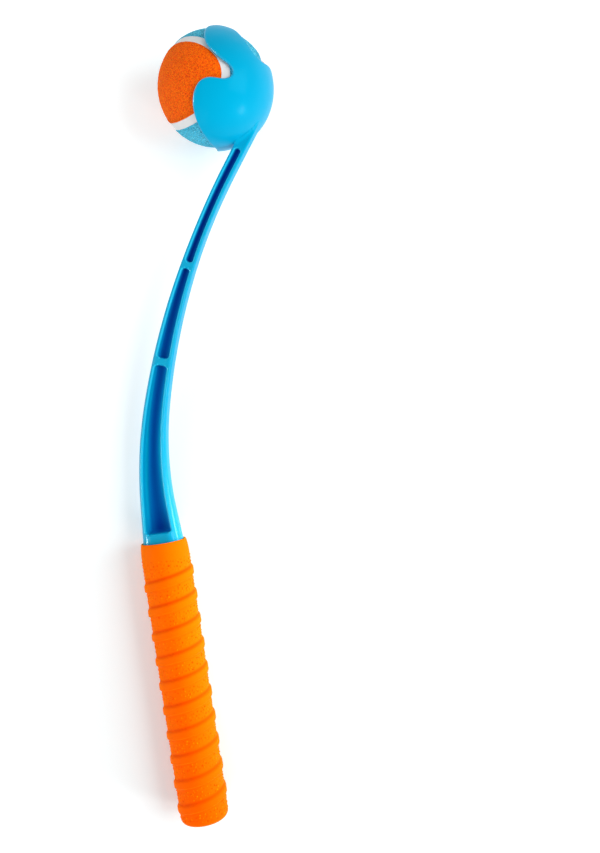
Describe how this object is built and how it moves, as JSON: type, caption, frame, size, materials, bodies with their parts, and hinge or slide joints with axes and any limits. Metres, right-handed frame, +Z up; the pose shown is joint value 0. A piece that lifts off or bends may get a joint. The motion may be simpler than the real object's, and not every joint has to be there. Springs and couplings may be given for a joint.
{
  "type": "dog ball thrower",
  "caption": "Handheld dog ball thrower: curved moulded shaft with a clawed cup that grips a felt ball, and a soft ribbed sleeve on the handle.",
  "frame": {"origin": "middle of the overall box at the ground the thrower lies on", "axes": "+Z up; +Y along the handle from its butt to the cup; +X towards the side that the shaft bends to. The arm's own plane is turned 14.6 degrees about Y, so that sleeve and cup both touch the ground"},
  "size_m": [0.1184, 0.4564, 0.0671],
  "materials": {
    "arm_plastic": "bright blue moulded plastic, satin on the cup and glossy along the shaft",
    "sleeve_rubber": "matte orange elastomer, smooth ridge with pimpled bands between its turns",
    "ball_rubber": "black vulcanised rubber",
    "orange_felt": "napped orange felt",
    "blue_felt": "napped light blue felt",
    "seam_band": "matte off-white seam compound"
  },
  "bodies": {
    "thrower": {"throwing_arm": "arm_plastic", "grip_sleeve": "sleeve_rubber"},
    "ball": {"ball_core_half_a": "ball_rubber", "ball_core_half_b": "ball_rubber", "ball_felt_orange": "orange_felt", "ball_felt_blue": "blue_felt", "ball_seam": "seam_band"}
  },
  "joints": [
    {"name": "ball_release", "type": "slide", "parent": "thrower", "child": "ball", "axis": [-0.9431, 0.225, -0.2449], "range_m": [0, 0.045]}
  ]
}
